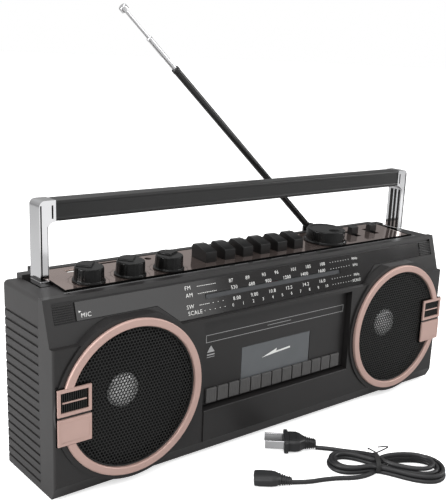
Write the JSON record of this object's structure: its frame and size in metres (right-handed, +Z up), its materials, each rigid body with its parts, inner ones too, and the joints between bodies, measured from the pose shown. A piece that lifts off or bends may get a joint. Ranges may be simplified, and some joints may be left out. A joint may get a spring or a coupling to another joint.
{
  "type": "cassette player",
  "caption": "Portable radio cassette player with two round speakers, slanted tuning dial, top keys and knobs, folding handle, telescopic antenna and a mains lead.",
  "frame": {"origin": "under the middle of the set, on the surface that its feet stand on", "axes": "+X to the right as the listener faces the set, +Y to its back, +Z up"},
  "size_m": [0.38, 0.2095, 0.3125],
  "materials": {
    "case_plastic": "satin charcoal",
    "dial_gloss": "gloss black",
    "window_tint": "smoke tint",
    "deck_bronze": "polished bronze tint",
    "copper_trim": "satin copper",
    "grille_metal": "black",
    "pointer_red": "gloss",
    "basket_steel": "plain",
    "cone_paper": "matte",
    "rubber_black": "matte",
    "brass_pulley": "turned",
    "spindle_white": "matte",
    "board_green": "satin",
    "inner_plastic": "matte",
    "contact_nickel": "plain",
    "knob_plastic": "satin black",
    "handle_chrome": "bright",
    "antenna_black": "satin black",
    "lead_vinyl": "satin"
  },
  "bodies": {
    "root": {"front_case": "case_plastic", "rear_case": "case_plastic", "top_plate": "deck_bronze", "dial_panel": "dial_gloss", "lower_panel": "case_plastic", "speaker_ring_left": "copper_trim", "speaker_ring_right": "copper_trim", "grille_left": "grille_metal", "grille_right": "grille_metal", "speaker_basket_left": "basket_steel", "speaker_basket_right": "basket_steel", "speaker_cone_left": "cone_paper", "speaker_cone_right": "cone_paper", "side_trims": "copper_trim", "deck_chassis": "basket_steel", "deck_motor": "basket_steel", "drive_belt": "rubber_black", "main_board": "board_green", "controls": "inner_plastic", "transformer": "basket_steel", "battery_contacts": "contact_nickel", "mains_inlet": "inner_plastic", "handle_pins": "basket_steel", "antenna_clip": "case_plastic", "feet": "rubber_black", "case_screws": "basket_steel"},
    "pointer": {"dial_pointer": "pointer_red"},
    "door": {"cassette_door": "case_plastic", "door_window": "window_tint"},
    "flywheel": {"flywheel": "basket_steel"},
    "motor_pulley": {"motor_pulley": "brass_pulley"},
    "spindle_left": {"reel_spindle_left": "spindle_white"},
    "spindle_right": {"reel_spindle_right": "spindle_white"},
    "head": {"tape_head": "basket_steel"},
    "roller": {"pinch_roller": "rubber_black"},
    "battery_door": {"battery_door": "case_plastic"},
    "volume_knob": {"volume_knob": "knob_plastic"},
    "balance_knob": {"balance_knob": "knob_plastic"},
    "tone_knob": {"tone_knob": "knob_plastic"},
    "tuning_knob": {"tuning_knob": "knob_plastic"},
    "function_switch": {"function_switch": "knob_plastic"},
    "band_switch": {"band_switch": "knob_plastic"},
    "handle": {"handle_arm_left": "handle_chrome", "handle_arm_right": "handle_chrome", "handle_grip": "knob_plastic"},
    "antenna_base": {"antenna_base": "handle_chrome"},
    "antenna_tube": {"antenna_tube": "antenna_black"},
    "antenna_middle": {"antenna_middle": "handle_chrome"},
    "antenna_tip": {"antenna_tip": "handle_chrome"},
    "power_lead": {"lead_cord": "lead_vinyl", "lead_tail": "lead_vinyl", "lead_hank": "lead_vinyl", "lead_connector": "lead_vinyl", "mains_plug": "lead_vinyl"},
    "key_pause": {"key_pause": "knob_plastic"},
    "key_stop": {"key_stop": "knob_plastic"},
    "key_forward": {"key_forward": "knob_plastic"},
    "key_rewind": {"key_rewind": "knob_plastic"},
    "key_play": {"key_play": "knob_plastic"},
    "key_record": {"key_record": "knob_plastic"}
  },
  "joints": [
    {"name": "volume_turn", "type": "hinge", "parent": "root", "child": "volume_knob", "pos_m": [-0.1463, -0.0057, 0.13491], "axis": [0, -0.0698, 0.9976], "range_deg": [-150, 150]},
    {"name": "balance_turn", "type": "hinge", "parent": "root", "child": "balance_knob", "pos_m": [-0.1144, -0.0057, 0.13491], "axis": [0, -0.0698, 0.9976], "range_deg": [-150, 150]},
    {"name": "tone_turn", "type": "hinge", "parent": "root", "child": "tone_knob", "pos_m": [-0.0826, -0.0057, 0.13491], "axis": [0, -0.0698, 0.9976], "range_deg": [-150, 150]},
    {"name": "tuning_turn", "type": "hinge", "parent": "root", "child": "tuning_knob", "pos_m": [0.0807, 0.00108, 0.13538], "axis": [0, -0.0698, 0.9976], "range_deg": [-305, 305]},
    {"name": "pointer_slide", "type": "slide", "parent": "root", "child": "pointer", "axis": [1, 0, 0], "range_m": [-0.0645, 0.0645]},
    {"name": "door_open", "type": "hinge", "parent": "root", "child": "door", "pos_m": [0, -0.0318, 0.04], "axis": [1, 0, 0], "range_deg": [0, 25]},
    {"name": "key_pause_press", "type": "slide", "parent": "root", "child": "key_pause", "axis": [0, 0, 1], "range_m": [-0.0045, 0], "stiffness_N_per_m": 250},
    {"name": "key_stop_press", "type": "slide", "parent": "root", "child": "key_stop", "axis": [0, 0, 1], "range_m": [-0.0045, 0], "stiffness_N_per_m": 250},
    {"name": "key_forward_press", "type": "slide", "parent": "root", "child": "key_forward", "axis": [0, 0, 1], "range_m": [-0.0045, 0], "stiffness_N_per_m": 250},
    {"name": "key_rewind_press", "type": "slide", "parent": "root", "child": "key_rewind", "axis": [0, 0, 1], "range_m": [-0.0045, 0], "stiffness_N_per_m": 250},
    {"name": "key_play_press", "type": "slide", "parent": "root", "child": "key_play", "axis": [0, 0, 1], "range_m": [-0.0045, 0], "stiffness_N_per_m": 250},
    {"name": "key_record_press", "type": "slide", "parent": "root", "child": "key_record", "axis": [0, 0, 1], "range_m": [-0.0045, 0], "stiffness_N_per_m": 250},
    {"name": "head_slide", "type": "slide", "parent": "root", "child": "head", "axis": [0, 0, 1], "range_m": [-0.0032, 0]},
    {"name": "roller_spin", "type": "hinge", "parent": "head", "child": "roller", "pos_m": [0.035, -0.02, 0.0996], "axis": [0, 1, 0], "continuous": true},
    {"name": "flywheel_spin", "type": "hinge", "parent": "root", "child": "flywheel", "pos_m": [0.035, -0.02, 0.09], "axis": [0, 1, 0], "continuous": true},
    {"name": "motor_spin", "type": "hinge", "parent": "root", "child": "motor_pulley", "pos_m": [-0.042, -0.006, 0.088], "axis": [0, 1, 0], "continuous": true},
    {"name": "reel_left_spin", "type": "hinge", "parent": "root", "child": "spindle_left", "pos_m": [-0.02125, -0.018, 0.062], "axis": [0, 1, 0], "continuous": true},
    {"name": "reel_right_spin", "type": "hinge", "parent": "root", "child": "spindle_right", "pos_m": [0.02125, -0.018, 0.062], "axis": [0, 1, 0], "continuous": true},
    {"name": "battery_door_pull", "type": "slide", "parent": "root", "child": "battery_door", "axis": [0, 1, 0], "range_m": [0, 0.03]},
    {"name": "function_slide", "type": "slide", "parent": "root", "child": "function_switch", "axis": [0, 0.9976, 0.0698], "range_m": [-0.005, 0.005]},
    {"name": "band_slide", "type": "slide", "parent": "root", "child": "band_switch", "axis": [0, 0.9976, 0.0698], "range_m": [-0.005, 0.005]},
    {"name": "handle_tilt", "type": "hinge", "parent": "root", "child": "handle", "pos_m": [0, 0.00675, 0.112], "axis": [1, 0, 0], "range_deg": [-12, 0]},
    {"name": "antenna_swivel", "type": "hinge", "parent": "root", "child": "antenna_base", "pos_m": [0.0961, 0.0364, 0.1319], "axis": [0, 0, 1], "range_deg": [-180, 0]},
    {"name": "antenna_tilt", "type": "hinge", "parent": "antenna_base", "child": "antenna_tube", "pos_m": [0.0961, 0.0364, 0.1385], "axis": [0, 1, 0], "range_deg": [-41.8, 138.2]},
    {"name": "antenna_middle_slide", "type": "slide", "parent": "antenna_tube", "child": "antenna_middle", "axis": [-0.7455, 0, 0.6665], "range_m": [-0.0275, 0.11]},
    {"name": "antenna_tip_slide", "type": "slide", "parent": "antenna_middle", "child": "antenna_tip", "axis": [-0.7455, 0, 0.6665], "range_m": [-0.024, 0.11]},
    {"name": "power_lead_carry", "type": "slide", "parent": "root", "child": "power_lead", "axis": [0, -1, 0], "range_m": [0, 0.12]}
  ],
  "couplings": [
    {"joint": "pointer_slide", "follows": "tuning_turn", "m_per_rad": -0.012},
    {"joint": "motor_spin", "follows": "flywheel_spin", "ratio": 4.5714},
    {"joint": "head_slide", "follows": "key_play_press", "ratio": 0.7}
  ]
}
